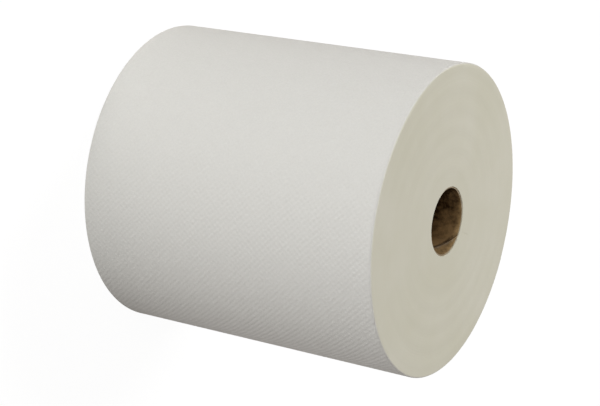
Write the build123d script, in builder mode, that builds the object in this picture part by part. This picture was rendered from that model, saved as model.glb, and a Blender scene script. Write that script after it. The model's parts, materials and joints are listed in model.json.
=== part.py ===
from build123d import *
import os
from math import cos, radians, sin

# A wide hard-wound roll of embossed paper towel on a spiral-wound cardboard core.
# It stands on one end. The origin is the centre of that end, and +Z runs up the roll's axis.
# All sizes are in millimetres, and angles go round from +X, in degrees.

# Wound paper
web_width = 203.0  # width of the towel, from end to end of the roll
roll_diameter = 195.0  # over the tail of the outermost turn
tail_step = 0.25  # thickness of the loose embossed sheet, which shows as a step at its tail
tail_angle = 75.0  # where the tail's edge lies round the roll
rim_radius = 1.2  # softness of the turns' edges round both rims
rim_bevels = 3  # flat bevels that round each rim

# Turns on the end faces
# The towel wandered a little as it was wound, so every other group of turns is shifted along
# the roll: it is sunk at the standing end and proud by the same amount at the other end.
group_turns = 5  # how many times the shifted group goes round
group_share = 0.5  # its width, as a share of the way from one time round to the next
group_shift = 0.15  # how far it is shifted
inner_margin = 2.5  # plain turns between it and the core
outer_margin = 4.0  # plain turns between it and the rounded rim

# Cardboard core
core_bore_diameter = 41.3  # inside the tube, which a holder's spindle goes through
core_wall = 1.0  # thickness of the tube
core_plies = 3  # layers of paperboard in that wall
core_recess = 0.5  # how far each end of the tube lies inside the paper

# Seam of the core's inner ply
seam_lead = 96.0  # length of tube for one turn of the seam
seam_gap = 0.7  # open width between the two edges of the ply
seam_exit_angle = 65.0  # where the seam meets the top of the tube
seam_overrun = 4.0  # how far the seam's cut runs past each end of the tube

# Sizes that follow from those above
quarter_turn = 90.0
full_turn = 360.0
roll_radius = roll_diameter / 2
core_bore_radius = core_bore_diameter / 2
core_radius = core_bore_radius + core_wall
core_length = web_width - 2 * core_recess
ply_thickness = core_wall / core_plies


def winding(radius, rise, turns, start_angle):
    """Quarter arcs of a spiral that starts at radius and grows by rise in each turn.

    Each arc is tangent to the one before. Their centres go round a small square, whose side
    is the growth in a quarter turn. Returns the centre, radius and start angle of each arc.
    """
    growth = rise / 4
    centre = Vector(-growth / 2, growth / 2).rotate(Axis.Z, start_angle)
    arcs = []
    for quarter in range(4 * turns):
        angle = start_angle + quarter * quarter_turn
        arcs.append((centre, radius + growth / 2 + quarter * growth, angle))
        centre = centre - Vector(growth, 0).rotate(Axis.Z, angle + quarter_turn)
    return arcs


def draw_winding(arcs, offset=0.0):
    """Draw a winding's arcs in the open line, all moved outwards by offset."""
    for centre, radius, angle in arcs:
        CenterArc(centre, radius + offset, angle, quarter_turn)


def winding_start(arcs, offset=0.0):
    """The point where a winding starts, moved outwards by offset."""
    centre, radius, angle = arcs[0]
    return centre + Vector(radius + offset, 0).rotate(Axis.Z, angle)


def winding_end(arcs, offset=0.0):
    """The point where a winding ends, moved outwards by offset."""
    centre, radius, angle = arcs[-1]
    return centre + Vector(radius + offset, 0).rotate(Axis.Z, angle + quarter_turn)


def soft_section(radius):
    """Half of the roll's section, from the axis out to radius, with both rims rounded."""
    rim = []
    for bevel in range(rim_bevels + 1):
        turn = radians(quarter_turn * bevel / rim_bevels)
        rim.append((radius - rim_radius * (1 - sin(turn)), rim_radius * (1 - cos(turn))))
    other_rim = [(out, web_width - up) for out, up in reversed(rim)]
    Polyline((0, 0), *rim, *other_rim, (0, web_width), close=True)


# Wound paper
# All the turns are one solid. Its outline is the last turn, closed by the tail's edge.
last_turn = winding(roll_radius - tail_step, tail_step, 1, tail_angle)

# The shifted group of turns is a spiral band between the core and the rounded rim
band_start = core_radius + inner_margin
band_end = roll_radius - tail_step - rim_radius - outer_margin
band_rise = (band_end - band_start) / (group_turns + group_share)
band_width = band_rise * group_share
band = winding(band_start, band_rise, group_turns, tail_angle)

with BuildPart() as paper_roll:
    # Each quarter is turned about the centre of its own arc, with the soft rims in its section
    for centre, radius, angle in last_turn:
        outwards = Vector(1, 0).rotate(Axis.Z, angle)
        backwards = outwards.rotate(Axis.Z, -quarter_turn)
        with BuildSketch(Plane(centre, x_dir=outwards, z_dir=backwards)):
            with BuildLine():
                soft_section(radius)
            make_face()
        revolve(axis=Axis(centre, (0, 0, 1)), revolution_arc=quarter_turn)
    with BuildSketch():
        Circle(core_radius)
    extrude(amount=web_width, mode=Mode.SUBTRACT)

    with BuildSketch() as shifted_group:
        with BuildLine():
            draw_winding(band)
            draw_winding(band, band_width)
            Line(winding_start(band), winding_start(band, band_width))
            Line(winding_end(band), winding_end(band, band_width))
        make_face()
    extrude(amount=group_shift, mode=Mode.SUBTRACT)
    with BuildSketch(Plane.XY.offset(web_width)):
        add(shifted_group.sketch)
    extrude(amount=group_shift)

# Cardboard core
# The two edges of the inner ply don't quite meet, which leaves a shallow seam in a steep helix.
seam_foot_height = core_recess - seam_overrun
seam_foot_angle = seam_exit_angle - full_turn * (core_length + seam_overrun) / seam_lead
seam_foot = Plane.XY.offset(seam_foot_height).rotated((0, 0, seam_foot_angle))

with BuildPart() as core_tube:
    with BuildSketch(Plane.XY.offset(core_recess)):
        Circle(core_radius)
        Circle(core_bore_radius, mode=Mode.SUBTRACT)
    extrude(amount=core_length)

    with BuildLine(seam_foot) as seam:
        Helix(seam_lead, core_length + 2 * seam_overrun, core_bore_radius)
    seam_start = Plane(seam.line @ 0, x_dir=seam_foot.x_dir, z_dir=seam.line % 0)
    with BuildSketch(seam_start):
        Rectangle(2 * ply_thickness, seam_gap)
    sweep(path=seam.line, is_frenet=True, mode=Mode.SUBTRACT)

os.makedirs("parts", exist_ok=True)
paper_roll.part.label = "paper_roll"
export_step(paper_roll.part, "parts/paper_roll.step")
core_tube.part.label = "core_tube"
export_step(core_tube.part, "parts/core_tube.step")
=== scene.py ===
import json
from math import acos, atan2, cos, pi, radians, sin
import bmesh
import bpy
from mathutils import Euler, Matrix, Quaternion, Vector


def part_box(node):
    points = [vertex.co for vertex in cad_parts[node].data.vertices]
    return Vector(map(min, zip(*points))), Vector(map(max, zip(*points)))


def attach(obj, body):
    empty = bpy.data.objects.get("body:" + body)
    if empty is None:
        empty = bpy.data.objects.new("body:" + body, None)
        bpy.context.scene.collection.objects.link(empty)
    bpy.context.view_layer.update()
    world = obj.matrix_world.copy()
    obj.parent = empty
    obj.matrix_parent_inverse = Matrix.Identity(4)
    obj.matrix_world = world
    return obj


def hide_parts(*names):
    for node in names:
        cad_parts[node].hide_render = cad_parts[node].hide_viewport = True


# A wide hard-wound roll of embossed paper towel on a spiral-wound cardboard core.
# Lengths are in metres. The roll stands on one end, with +Z up its axis.
# Sheet, turns and core are each modelled laid out flat, then bent round, as the real ones are.

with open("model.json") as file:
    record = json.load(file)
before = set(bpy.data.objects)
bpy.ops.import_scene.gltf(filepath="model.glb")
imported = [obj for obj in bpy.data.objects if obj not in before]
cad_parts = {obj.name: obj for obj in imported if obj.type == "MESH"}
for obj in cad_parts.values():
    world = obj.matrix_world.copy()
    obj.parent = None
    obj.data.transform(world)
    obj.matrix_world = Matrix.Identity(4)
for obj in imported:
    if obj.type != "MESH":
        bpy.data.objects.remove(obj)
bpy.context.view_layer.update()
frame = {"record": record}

MM = 0.001
FULL_TURN = 2 * pi
DEGREES_ROUND = 360
UPRIGHT = (pi / 2, 0, 0)
ORIGIN = (0, 0, 0)

# Sizes that the frame gives
roll_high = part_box("paper_roll")[1]
core_low, core_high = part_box("core_tube")
core_bore = next(mount for mount in frame["record"]["mounts"] if mount["name"] == "core_bore")
bore_radius = core_bore["dims"]["r_mm"] * MM
core_radius = core_high.x

# Towel. The last bit of its tail stands a little off the roll.
SHEET_THICKNESS = 0.25 * MM
TAIL_ANGLE = 75.0
TAIL_LIFT = 0.5 * MM
LIFTED_LENGTH = 14.0 * MM
RIM_RADIUS = 1.2 * MM
GROUP_SHIFT = 0.15 * MM
web_width = roll_high.z - GROUP_SHIFT
tail_radius = roll_high.x + SHEET_THICKNESS * TAIL_ANGLE / DEGREES_ROUND
mean_radius = tail_radius - SHEET_THICKNESS / 2
turn_length = FULL_TURN * mean_radius

# Embossing of the towel, as diamond cells. One of their two families of ribs is the stronger.
# It was pressed flat on one side of the roll, and shows more and more firmly away from there.
CELLS_ROUND = 154
CELLS_ALONG = 51
EMBOSS_DEPTH = 0.12 * MM
FINE_RIB_DEPTH = 0.18 * MM
STRONGER_RIBS = 0.64
FLATTEST_ANGLE = -102.0
FLATTEST_SHARE = 0.6
SHARE_GAINED = 1.05
FIRMEST_SHARE = 1.4
cell_length = turn_length / CELLS_ROUND
cell_width = (web_width - 2 * RIM_RADIUS) / CELLS_ALONG

# Groups of turns on the end faces, which wandered as the towel was wound
GROUP_TURNS = 5
GROUP_SHARE = 0.5
INNER_MARGIN = 2.5 * MM
OUTER_MARGIN = 4.0 * MM
BODY_COLUMNS = 240
ROWS_PER_GROUP = 8

# Rounding of both rims. The outer turn takes its start, and the turns under it take the rest.
SHEET_RIM_STEPS = 2
BODY_RIM_STEPS = 4
RIM_ZONE = 1.1 * RIM_RADIUS
sheet_rim_angle = acos(1 - SHEET_THICKNESS / RIM_RADIUS)

# Cardboard core
CORE_WALL = 1.0 * MM
CORE_PLIES = 3
SEAM_LEAD = 96.0 * MM
SEAM_GAP = 0.7 * MM
SEAM_EXIT_ANGLE = 65.0
SEAM_TURNS = 3
CORE_COLUMNS = 144
ply_thickness = CORE_WALL / CORE_PLIES

# Finishes
TOWEL_WHITE = (0.80, 0.79, 0.75)
# Tones of the towel's fine mottling, which is painted shade of its tiny pits
PAINTED_PIT_SHADE_TONES = ((0.755, 0.745, 0.705), (0.845, 0.835, 0.795))
EDGE_CREAM = (0.79, 0.765, 0.64)
EDGE_SHADES = ((0.765, 0.752, 0.615), (0.815, 0.802, 0.685))
INNER_BOARD_SHADES = ((0.065, 0.036, 0.016), (0.62, 0.42, 0.2))
OUTER_BOARD_SHADES = ((0.2, 0.11, 0.035), (0.3, 0.17, 0.06))
CUT_BOARD_SHADES = ((0.36, 0.29, 0.2), (0.5, 0.42, 0.31))
# Along the inner ply's seam: a painted highlight on the edge above it, and a painted shadow with some
# glue on the edge below it
SEAM_HIGHLIGHT = (0.7, 0.58, 0.4)
SEAM_SHADOW_AND_GLUE = (0.06, 0.035, 0.015)
SEAM_EDGE_WIDTH = 3.0 * MM
LIGHTER_STRIP_EDGES = 0.35
PAPER_ROUGHNESS = 0.95
BOARD_ROUGHNESS = 0.85
RINGS_PER_METRE = 900.0
RING_TONE = 0.6
PATCH_TONE = 2.0
CREPE_DEPTH = 0.24 * MM
RING_DEPTH = 0.06 * MM
FIBRE_DEPTH = 0.03 * MM
BOARD_FIBRE_DEPTH = 0.05 * MM

# Camera
CAMERA_AIM = Vector((0.0055, -0.0014, 0.0999))
CAMERA_DISTANCE = 1.0815
CAMERA_AZIMUTH = -5.27
CAMERA_ELEVATION = 29.22
CAMERA_ROLL = 100.7
CAMERA_LENS = 101.5
CAMERA_SENSOR = 36.0

# Light and floor. The light from all round is a little weaker on the side of +X.
LIGHT_DISTANCE = 2.0
KEY_DIRECTION = Vector((-0.36, -0.92, 0.07))
KEY_SIZE = (1.4, 0.3)
KEY_POWER = 16.1
KEY_COLOR = (0.955, 0.99, 1.0)
TOP_DIRECTION = Vector((-0.34, 0.3, 0.89))
TOP_SIZE = (0.6, 0.6)
TOP_POWER = 15.4
AMBIENT_LEVEL = 0.31
AMBIENT_COLOR = (1.0, 0.945, 0.925)
DARKER_SIDE = 0.2
FLOOR_SIZE = 12.0
FLOOR_GREY = 0.92
FLOOR_GLOW = 0.94
FLOOR_SEEN_GREY = 0.12

MERGE_DISTANCE = 0.01 * MM
CUT_DISTANCE = 0.001 * MM
SMOOTH_ANGLE = radians(30)


def deselect_all():
    bpy.ops.object.select_all(action="DESELECT")


def edit(mode="VERT"):
    """Opens the active piece in edit mode with all of it selected."""
    bpy.ops.object.mode_set(mode="EDIT")
    bpy.ops.mesh.select_mode(type=mode)
    bpy.ops.mesh.select_all(action="SELECT")


def done():
    bpy.ops.object.mode_set(mode="OBJECT")


def apply_place():
    """Moves the active piece's place, turn and scale from its object into its mesh."""
    bpy.ops.object.transform_apply(location=True, rotation=True, scale=True)


def pick(kind, test):
    """In edit mode, selects the vertices, edges or faces whose middle passes the test."""
    bpy.ops.mesh.select_mode(type={"verts": "VERT", "edges": "EDGE", "faces": "FACE"}[kind])
    bpy.ops.mesh.select_all(action="DESELECT")
    mesh = bmesh.from_edit_mesh(bpy.context.object.data)
    for part in getattr(mesh, kind):
        place = part.co if kind == "verts" else middle_of(part)
        if test(place, part):
            part.select = True
    mesh.select_flush_mode()
    bmesh.update_edit_mesh(bpy.context.object.data)


def middle_of(part):
    return sum((vertex.co for vertex in part.verts), Vector()) / len(part.verts)


def apply_modifier(kind, **settings):
    """Adds one modifier to the active piece and applies it."""
    modifier = bpy.context.object.modifiers.new(kind.title(), kind)
    for name, value in settings.items():
        setattr(modifier, name, value)
    bpy.ops.object.modifier_apply(modifier=modifier.name)


def repeat(count, offset, **settings):
    """Copies the active piece in a row and joins each copy to the next."""
    apply_modifier(
        "ARRAY",
        count=count,
        use_relative_offset=True,
        relative_offset_displace=offset,
        use_merge_vertices=True,
        merge_threshold=MERGE_DISTANCE,
        **settings,
    )


def bend_round(radius):
    """Bends the active piece, laid out along X with its outside to -Y, once round the roll's axis.

    What lies on Y = 0 goes round at that radius, and the two ends meet at the tail's angle.
    """
    apply_modifier("SIMPLE_DEFORM", deform_method="BEND", deform_axis="Z", angle=FULL_TURN)
    edit()
    bpy.ops.transform.translate(value=(0, -radius, 0))
    done()
    bpy.context.object.rotation_euler.z = radians(TAIL_ANGLE) - pi / 2
    apply_place()


def finish_piece(name, slot, cad_node, *materials):
    """Names the active piece, gives it its materials, hangs it on the root body and hides its CAD node.
    """
    piece = bpy.context.object
    piece.name = name
    piece.data.name = name
    bpy.ops.object.shade_smooth_by_angle(angle=SMOOTH_ANGLE)
    for material in materials:
        piece.data.materials.append(material)
    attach(piece, "root")
    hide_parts(cad_node)
    deselect_all()


# Materials


def new_material(name, color, roughness):
    """A matt material, with its node tree and its shader."""
    material = bpy.data.materials.new(name)
    material.use_nodes = True
    shader = material.node_tree.nodes["Principled BSDF"]
    shader.inputs["Base Color"].default_value = (*color, 1)
    shader.inputs["Roughness"].default_value = roughness
    shader.inputs["Specular IOR Level"].default_value = 0.0
    return material, material.node_tree, shader


def node(tree, kind, **settings):
    """Adds a shader node. Settings are its own properties."""
    made = tree.nodes.new(kind)
    for name, value in settings.items():
        setattr(made, name, value)
    return made


def feed(tree, made, *values):
    """Sets or links the node's inputs in order, and returns its first output."""
    for socket, value in zip(made.inputs, values):
        if isinstance(value, bpy.types.NodeSocket):
            tree.links.new(value, socket)
        else:
            socket.default_value = value
    return made.outputs[0]


def calculate(tree, operation, *values):
    return feed(tree, node(tree, "ShaderNodeMath", operation=operation), *values)


def noise(tree, place, scale, detail, roughness=0.5):
    """Soft random spots. Scale says how many there are to a metre."""
    made = node(tree, "ShaderNodeTexNoise")
    tree.links.new(place, made.inputs["Vector"])
    made.inputs["Scale"].default_value = scale
    made.inputs["Detail"].default_value = detail
    made.inputs["Roughness"].default_value = roughness
    return made.outputs["Fac"]


def object_place(tree):
    return node(tree, "ShaderNodeTexCoord").outputs["Object"]


def bump(tree, height, depth, under=None):
    """Relief of that depth, on top of the relief under it."""
    made = node(tree, "ShaderNodeBump")
    made.inputs["Strength"].default_value = 1
    made.inputs["Distance"].default_value = depth
    tree.links.new(height, made.inputs["Height"])
    if under is not None:
        tree.links.new(under, made.inputs["Normal"])
    return made.outputs["Normal"]


def spread(tree, value, low, high):
    """Runs from 0 to 1 while the value goes from low to high."""
    return feed(tree, node(tree, "ShaderNodeMapRange"), value, low, high)


def blend(tree, amount, under, color):
    """Covers what lies under it with a colour, by an amount from 0 to 1."""
    made = node(tree, "ShaderNodeMix", data_type="RGBA")
    made.inputs["B"].default_value = (*color, 1)
    tree.links.new(amount, made.inputs["Factor"])
    tree.links.new(under, made.inputs["A"])
    return made.outputs["Result"]


def tint(tree, amount, low, high):
    """A colour between low and high, by an amount from 0 to 1."""
    made = node(tree, "ShaderNodeValToRGB")
    made.color_ramp.elements[0].color = (*low, 1)
    made.color_ramp.elements[1].color = (*high, 1)
    tree.links.new(amount, made.inputs["Fac"])
    return made.outputs["Color"]


def vector_math(tree, operation, *values, output="Vector"):
    made = node(tree, "ShaderNodeVectorMath", operation=operation)
    feed(tree, made, *values)
    return made.outputs[output]


def split_place(tree, place):
    """The X, Y and Z of a place."""
    split = node(tree, "ShaderNodeSeparateXYZ")
    feed(tree, split, place)
    return split.outputs


def diamond_relief(tree):
    """Height of the embossing, from its two families of slanted ribs."""
    across, along, _ = split_place(tree, node(tree, "ShaderNodeUVMap", uv_map="UVMap").outputs["UV"])
    relief = 0
    for way, share in (("ADD", STRONGER_RIBS), ("SUBTRACT", 1 - STRONGER_RIBS)):
        turns = calculate(tree, way, across, along)
        ribs = calculate(tree, "COSINE", calculate(tree, "MULTIPLY", turns, FULL_TURN))
        relief = calculate(tree, "MULTIPLY_ADD", ribs, share / 2, relief)
    return relief


def emboss_firmness(tree, place):
    """Share of the embossing that shows, from the flattest side of the roll round to the firmest."""
    flattest = Vector((cos(radians(FLATTEST_ANGLE)), sin(radians(FLATTEST_ANGLE)), 0))
    towards_flattest = vector_math(tree, "DOT_PRODUCT", place, flattest, output="Value")
    gain = -SHARE_GAINED / tail_radius
    share = calculate(tree, "MULTIPLY_ADD", towards_flattest, gain, FLATTEST_SHARE + SHARE_GAINED)
    return calculate(tree, "MINIMUM", share, FIRMEST_SHARE)


def make_towel_material():
    """White embossed towel, with its fine ribs, its crepe and a faint mottling, which is painted shade
    of its tiny pits.
    """
    material, tree, shader = new_material("embossed_towel", TOWEL_WHITE, PAPER_ROUGHNESS)
    place = object_place(tree)
    uneven = noise(tree, place, scale=400, detail=2, roughness=0.6)
    pressing = spread(tree, uneven, low=0.1, high=0.7)
    relief = calculate(tree, "MULTIPLY", diamond_relief(tree), pressing)
    relief = calculate(tree, "MULTIPLY", relief, emboss_firmness(tree, place))
    embossed = bump(tree, relief, FINE_RIB_DEPTH)
    crepe = noise(tree, place, scale=500, detail=4, roughness=0.7)
    tree.links.new(bump(tree, crepe, CREPE_DEPTH, under=embossed), shader.inputs["Normal"])
    # Painted shade: the fine mottling darkens and lightens the towel as the shade in its tiny pits
    # would
    painted_pit_shade = noise(tree, place, scale=900, detail=3, roughness=0.6)
    tree.links.new(tint(tree, painted_pit_shade, *PAINTED_PIT_SHADE_TONES), shader.inputs["Base Color"])
    return material


def make_edge_material():
    """Cut edges of the turns: cream, with faint rings and patches, and white at the rim."""
    material, tree, shader = new_material("cut_paper_edges", EDGE_CREAM, PAPER_ROUGHNESS)
    place = object_place(tree)
    without_height = (1, 1, 0)
    flat = vector_math(tree, "MULTIPLY", place, without_height)
    radius = vector_math(tree, "LENGTH", flat, output="Value")
    ring = node(tree, "ShaderNodeCombineXYZ")
    tree.links.new(calculate(tree, "MULTIPLY", radius, RINGS_PER_METRE), ring.inputs["Z"])
    ring_place = vector_math(tree, "ADD", vector_math(tree, "NORMALIZE", flat), ring.outputs["Vector"])
    rings = noise(tree, ring_place, scale=1, detail=4, roughness=0.6)
    fibres = noise(tree, place, scale=1500, detail=3, roughness=0.6)
    ridged = bump(tree, rings, RING_DEPTH)
    tree.links.new(bump(tree, fibres, FIBRE_DEPTH, under=ridged), shader.inputs["Normal"])
    patches = noise(tree, place, scale=22, detail=3, roughness=0.55)
    ring_tones = calculate(tree, "MULTIPLY_ADD", rings, RING_TONE, (1 - RING_TONE - PATCH_TONE) / 2)
    tones = calculate(tree, "MULTIPLY_ADD", patches, PATCH_TONE, ring_tones)
    over_rim = spread(tree, radius, low=tail_radius - RIM_RADIUS, high=tail_radius - SHEET_THICKNESS)
    color = blend(tree, over_rim, tint(tree, tones, *EDGE_SHADES), TOWEL_WHITE)
    tree.links.new(color, shader.inputs["Base Color"])
    return material


def make_board_material(name, shades, with_seam=False):
    """Brown paperboard with fine fibres, and if asked, the inner ply's seam with a painted highlight on
    one edge and a painted shadow, with some glue, on the other.
    """
    dark, light = shades
    material, tree, shader = new_material(name, light, BOARD_ROUGHNESS)
    place = object_place(tree)
    fibres = noise(tree, place, scale=700, detail=4, roughness=0.65)
    tree.links.new(bump(tree, fibres, BOARD_FIBRE_DEPTH), shader.inputs["Normal"])
    stains = noise(tree, place, scale=220, detail=5, roughness=0.65)
    if with_seam:
        height = height_over_seam(tree, place)
        turned = calculate(tree, "MULTIPLY", height, FULL_TURN / SEAM_LEAD)
        near_seam = calculate(tree, "COSINE", turned)
        stains = calculate(tree, "MULTIPLY_ADD", near_seam, LIGHTER_STRIP_EDGES, stains)
    color = tint(tree, spread(tree, stains, low=0.4, high=0.9), dark, light)
    if with_seam:
        patches = spread(tree, noise(tree, place, scale=260, detail=3), low=0.35, high=0.6)
        # A painted highlight on the ply's edge just above the seam, and a painted shadow with some glue
        # on the edge just below it
        above = spread(tree, height, low=SEAM_EDGE_WIDTH, high=SEAM_GAP)
        below = spread(tree, height, low=SEAM_LEAD - SEAM_EDGE_WIDTH, high=SEAM_LEAD - SEAM_GAP)
        for side, cover in ((above, SEAM_HIGHLIGHT), (below, SEAM_SHADOW_AND_GLUE)):
            color = blend(tree, calculate(tree, "MULTIPLY", side, patches), color, cover)
    tree.links.new(color, shader.inputs["Base Color"])
    return material


def height_over_seam(tree, place):
    """How far each point of the core lies above the seam of its inner ply, along the tube."""
    x, y, z = split_place(tree, place)
    angle = calculate(tree, "ARCTAN2", y, x)
    climb = calculate(tree, "MULTIPLY", angle, -SEAM_LEAD / FULL_TURN)
    exit_height = core_high.z - SEAM_LEAD * SEAM_EXIT_ANGLE / DEGREES_ROUND
    lowest_seam = exit_height - SEAM_TURNS * SEAM_LEAD
    above = calculate(tree, "ADD", calculate(tree, "ADD", z, climb), -lowest_seam)
    return calculate(tree, "MODULO", above, SEAM_LEAD)


# Pieces


def pick_open_edges(height):
    """In edit mode, selects the open edges that lie at that height."""
    pick("edges", lambda at, edge: edge.is_boundary and abs(at.z - height) < MERGE_DISTANCE)


def rim_drop(angle):
    """How far the rims' rounding lies from the end of the roll, that far round it."""
    return RIM_RADIUS * (1 - sin(angle))


def round_rims(start, end, steps):
    """In edit mode, extrudes the open top and bottom edges of a wall along the rims' rounding."""
    for side in (-1, 1):
        height = rim_drop(start) if side < 0 else web_width - rim_drop(start)
        pick_open_edges(height)
        for step in range(steps):
            turn = start + (end - start) * step / steps
            next_turn = start + (end - start) * (step + 1) / steps
            inward = RIM_RADIUS * (cos(turn) - cos(next_turn))
            onward = side * (rim_drop(turn) - rim_drop(next_turn))
            bpy.ops.mesh.extrude_edges_move(TRANSFORM_OT_translate={"value": (0, inward, onward)})


def close_the_back():
    """In edit mode, joins the innermost edges of both rims and closes the two cut ends."""
    innermost = max(vertex.co.y for vertex in bmesh.from_edit_mesh(bpy.context.object.data).verts)
    pick("edges", lambda at, edge: edge.is_boundary and abs(at.y - innermost) < MERGE_DISTANCE)
    bpy.ops.mesh.bridge_edge_loops()
    bpy.ops.mesh.select_all(action="SELECT")
    bpy.ops.mesh.fill_holes(sides=0)
    bpy.ops.mesh.select_all(action="SELECT")
    bpy.ops.mesh.normals_make_consistent(inside=False)


def make_outer_turn(material):
    """The last turn of towel, with its embossing, its soft rims and its slightly lifted tail."""
    bpy.ops.mesh.primitive_grid_add(x_subdivisions=2, y_subdivisions=2, size=1, rotation=UPRIGHT)
    bpy.context.object.scale = (cell_length, cell_width, 1)
    apply_place()
    edit("FACE")
    bpy.ops.mesh.poke()
    # The cell's middle and corners stay up, the middles of its sides go in, the rest half as far
    quarter = cell_length / 4
    pick("verts", lambda at, _: abs(abs(at.x) - quarter) < quarter / 2)
    bpy.ops.transform.translate(value=(0, EMBOSS_DEPTH / 2, 0))
    pick("verts", lambda at, _: abs(abs(at.x) - abs(at.z) * cell_length / cell_width) > quarter)
    bpy.ops.transform.translate(value=(0, EMBOSS_DEPTH, 0))
    done()
    # The UV map moves on by one with each cell, so that the material's ribs follow the cells
    repeat(CELLS_ROUND, (1, 0, 0), offset_u=1)
    repeat(CELLS_ALONG, (0, 0, 1), offset_v=1)
    bpy.context.object.location = ((cell_length - turn_length) / 2, 0, RIM_RADIUS + cell_width / 2)
    apply_place()
    edit("EDGE")
    for rim in (RIM_RADIUS, web_width - RIM_RADIUS):
        pick_open_edges(rim)
        bpy.ops.transform.resize(value=(1, 0, 1), center_override=ORIGIN)
    round_rims(0, sheet_rim_angle, SHEET_RIM_STEPS)
    close_the_back()
    # The tail's edge is lifted off the roll, and the last bit of the sheet follows it softly
    pick("verts", lambda at, _: at.x > turn_length / 2 - MERGE_DISTANCE)
    bpy.ops.transform.translate(
        value=(0, -TAIL_LIFT, 0),
        use_proportional_edit=True,
        proportional_edit_falloff="SMOOTH",
        proportional_size=LIFTED_LENGTH,
    )
    # A slight turn of the flat sheet lets its tail end up one thickness over its start
    bpy.ops.mesh.select_all(action="SELECT")
    bpy.ops.transform.rotate(
        value=atan2(SHEET_THICKNESS, turn_length), orient_axis="Z", center_override=ORIGIN
    )
    done()
    bend_round(mean_radius)
    finish_piece("outer_turn", "towel_paper", "paper_roll", material)


def make_wound_turns(material):
    """All the turns under the last one, as one closed body with a soft rim and wandering groups."""
    body_radius = tail_radius - 2 * SHEET_THICKNESS
    column = turn_length / BODY_COLUMNS
    depth = body_radius - core_radius
    outside = mean_radius - body_radius
    bpy.ops.mesh.primitive_plane_add(size=1, rotation=UPRIGHT)
    bpy.context.object.location = (0, outside, web_width / 2)
    bpy.context.object.scale = (column, web_width - 2 * rim_drop(sheet_rim_angle), 1)
    apply_place()
    repeat(BODY_COLUMNS, (1, 0, 0))
    bpy.context.object.location.x = (column - turn_length) / 2
    apply_place()
    edit("EDGE")
    round_rims(sheet_rim_angle, pi / 2, BODY_RIM_STEPS)
    to_the_core = depth - (RIM_RADIUS - SHEET_THICKNESS)
    for end in (0, web_width):
        pick_open_edges(end)
        bpy.ops.mesh.extrude_edges_move(TRANSFORM_OT_translate={"value": (0, to_the_core, 0)})
    close_the_back()

    # Slanted cuts through the body become rows on its end faces, and the rows are then lifted
    first = core_radius + INNER_MARGIN
    last = tail_radius - SHEET_THICKNESS - RIM_RADIUS - OUTER_MARGIN
    rise = (last - first) / (GROUP_TURNS + GROUP_SHARE)
    slant = Vector((rise / turn_length, 1, 0)).normalized()
    starts = [
        Vector((-turn_length / 2, mean_radius - first - rise * row / ROWS_PER_GROUP, 0))
        for row in range(GROUP_TURNS * ROWS_PER_GROUP + ROWS_PER_GROUP // 2 + 1)
    ]
    for start in starts:
        bpy.ops.mesh.select_all(action="SELECT")
        bpy.ops.mesh.bisect(plane_co=start, plane_no=slant, threshold=CUT_DISTANCE)
    for row, start in enumerate(starts):
        if row % ROWS_PER_GROUP:
            wave = (1 - cos(FULL_TURN * row / ROWS_PER_GROUP)) / 2
            pick("verts", lambda at, _: abs((at - start).dot(slant)) < MERGE_DISTANCE)
            bpy.ops.transform.translate(value=(0, 0, GROUP_SHIFT * wave))
    # The outside and the rims are turned too, so that they follow the inside of the outer turn
    pick("verts", lambda at, _: at.y < outside + RIM_ZONE)
    bpy.ops.transform.rotate(
        value=atan2(SHEET_THICKNESS, turn_length),
        orient_axis="Z",
        center_override=(-turn_length / 2, outside, 0),
    )
    done()
    bend_round(mean_radius)
    finish_piece("wound_turns", "towel_paper", "paper_roll", material)


def lay_out_ply(radius, *materials):
    """Adds a flat sheet of board, as long as the way round at that radius and as wide as the core."""
    column = FULL_TURN * radius / CORE_COLUMNS
    bpy.ops.mesh.primitive_plane_add(size=1, rotation=UPRIGHT)
    bpy.context.object.scale = (column, core_high.z - core_low.z, 1)
    apply_place()
    repeat(CORE_COLUMNS, (1, 0, 0))
    bpy.context.object.location = (column / 2 - pi * radius, 0, (core_high.z + core_low.z) / 2)
    apply_place()
    for material in materials:
        bpy.context.object.data.materials.append(material)


def roll_up_ply(radius, thickness):
    """Bends the flat sheet of board round, closes it and gives it its thickness outwards."""
    bend_round(radius)
    edit()
    bpy.ops.mesh.remove_doubles(threshold=MERGE_DISTANCE)
    bpy.ops.mesh.normals_make_consistent(inside=False)
    done()
    apply_modifier("SOLIDIFY", thickness=thickness, offset=1, material_offset_rim=1)


def make_core_outer_plies(*materials):
    """The outer plies of the core, a plain tube that shows in the inner ply's seam."""
    lay_out_ply(bore_radius + ply_thickness, *materials)
    roll_up_ply(bore_radius + ply_thickness, CORE_WALL - ply_thickness)
    finish_piece("core_outer_plies", "core_board", "core_tube")


def make_core_inner_ply(*materials):
    """The inner ply of the core, a strip wound in a steep helix whose two edges don't quite meet."""
    lay_out_ply(bore_radius, *materials)
    length = FULL_TURN * bore_radius
    across = Vector((-SEAM_LEAD, 0, length)).normalized()
    exit_share = (SEAM_EXIT_ANGLE - TAIL_ANGLE) / DEGREES_ROUND
    edit("FACE")
    for turn in range(SEAM_TURNS):
        seam = Vector((length / 2 + exit_share * length, 0, core_high.z - turn * SEAM_LEAD))
        for side in (-1, 1):
            bpy.ops.mesh.select_all(action="SELECT")
            bpy.ops.mesh.bisect(plane_co=seam + side * across * SEAM_GAP / 2, plane_no=across)
        pick("faces", lambda at, _: abs((at - seam).dot(across)) < SEAM_GAP / 2)
        bpy.ops.mesh.delete(type="FACE")
    done()
    roll_up_ply(bore_radius, ply_thickness)
    finish_piece("core_inner_ply", "core_board", "core_tube")


def seen_directly(tree):
    """1 for what the camera sees, also in or through what is glossy or clear, and 0 for other light."""
    path = node(tree, "ShaderNodeLightPath").outputs
    seen = calculate(tree, "MAXIMUM", path["Is Camera Ray"], path["Is Glossy Ray"])
    return calculate(tree, "MAXIMUM", seen, path["Is Transmission Ray"])


def grey(level):
    return (level, level, level, 1)


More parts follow.
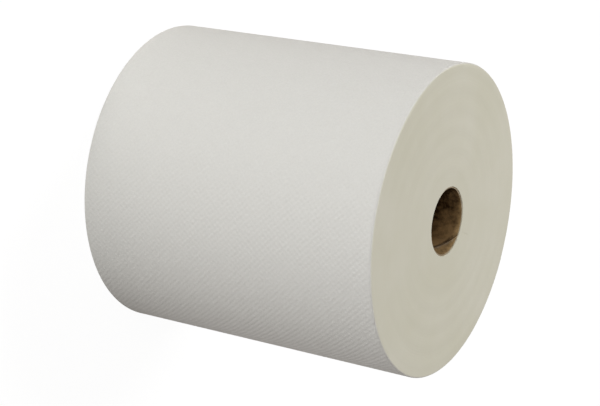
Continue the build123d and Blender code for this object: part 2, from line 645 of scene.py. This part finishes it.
def make_floor():
    """A plain pale floor that looks white and keeps a faint shadow of the roll."""
    bpy.ops.mesh.primitive_plane_add(size=FLOOR_SIZE)
    floor = bpy.context.object
    floor.name = "floor"
    material = bpy.data.materials.new("floor")
    material.use_nodes = True
    tree = material.node_tree
    tree.nodes.clear()
    glow = feed(tree, node(tree, "ShaderNodeEmission"), grey(1), FLOOR_GLOW)
    shade = feed(tree, node(tree, "ShaderNodeBsdfDiffuse"), grey(FLOOR_SEEN_GREY))
    bright = feed(tree, node(tree, "ShaderNodeAddShader"), glow, shade)
    plain = feed(tree, node(tree, "ShaderNodeBsdfDiffuse"), grey(FLOOR_GREY))
    mixed = feed(tree, node(tree, "ShaderNodeMixShader"), seen_directly(tree), plain, bright)
    output = node(tree, "ShaderNodeOutputMaterial")
    tree.links.new(mixed, output.inputs["Surface"])
    floor.data.materials.append(material)
    deselect_all()


def make_world():
    """A soft light from all round, which looks white behind the roll."""
    world = bpy.data.worlds.new("studio")
    bpy.context.scene.world = world
    world.use_nodes = True
    tree = world.node_tree
    towards_x = split_place(tree, object_place(tree))["X"]
    slope = -DARKER_SIDE * AMBIENT_LEVEL
    level = calculate(tree, "MULTIPLY_ADD", towards_x, slope, AMBIENT_LEVEL)
    light = feed(tree, node(tree, "ShaderNodeBackground"), (*AMBIENT_COLOR, 1), level)
    white = feed(tree, node(tree, "ShaderNodeBackground"), grey(1), 1)
    mixed = feed(tree, node(tree, "ShaderNodeMixShader"), seen_directly(tree), light, white)
    tree.links.new(mixed, tree.nodes["World Output"].inputs["Surface"])


def make_light(name, direction, size, power, color=(1, 1, 1)):
    """A large soft light that shines on the middle of the roll from that direction."""
    middle = Vector((0, 0, web_width / 2))
    bpy.ops.object.light_add(type="AREA", location=middle + LIGHT_DISTANCE * direction.normalized())
    light = bpy.context.object
    light.name = name
    light.data.energy = power
    light.data.color = color
    light.data.shape = "RECTANGLE"
    light.data.size, light.data.size_y = size
    light.rotation_euler = (-direction).to_track_quat("-Z", "Y").to_euler()
    deselect_all()


def make_camera():
    """The camera stands at the photograph's angle and is rolled, so that the roll looks laid down."""
    tilt = pi / 2 - radians(CAMERA_ELEVATION)
    level = Euler((tilt, 0, radians(CAMERA_AZIMUTH))).to_quaternion()
    turned = level @ Quaternion((0, 0, 1), radians(CAMERA_ROLL))
    backwards = turned @ Vector((0, 0, 1))
    bpy.ops.object.camera_add(location=CAMERA_AIM + CAMERA_DISTANCE * backwards)
    camera = bpy.context.object
    camera.name = "camera"
    camera.rotation_mode = "QUATERNION"
    camera.rotation_quaternion = turned
    camera.data.lens = CAMERA_LENS
    camera.data.sensor_width = CAMERA_SENSOR
    bpy.context.scene.camera = camera
    deselect_all()


deselect_all()
make_outer_turn(make_towel_material())
make_wound_turns(make_edge_material())
inner_board = make_board_material("inner_core_board", INNER_BOARD_SHADES, with_seam=True)
outer_board = make_board_material("outer_core_board", OUTER_BOARD_SHADES)
cut_board = make_board_material("cut_core_board", CUT_BOARD_SHADES)
make_core_outer_plies(outer_board, cut_board)
make_core_inner_ply(inner_board, cut_board)
make_floor()
make_world()
make_light("key_light", KEY_DIRECTION, KEY_SIZE, KEY_POWER, KEY_COLOR)
make_light("top_light", TOP_DIRECTION, TOP_SIZE, TOP_POWER)
make_camera()
bpy.context.scene.view_settings.view_transform = "Standard"
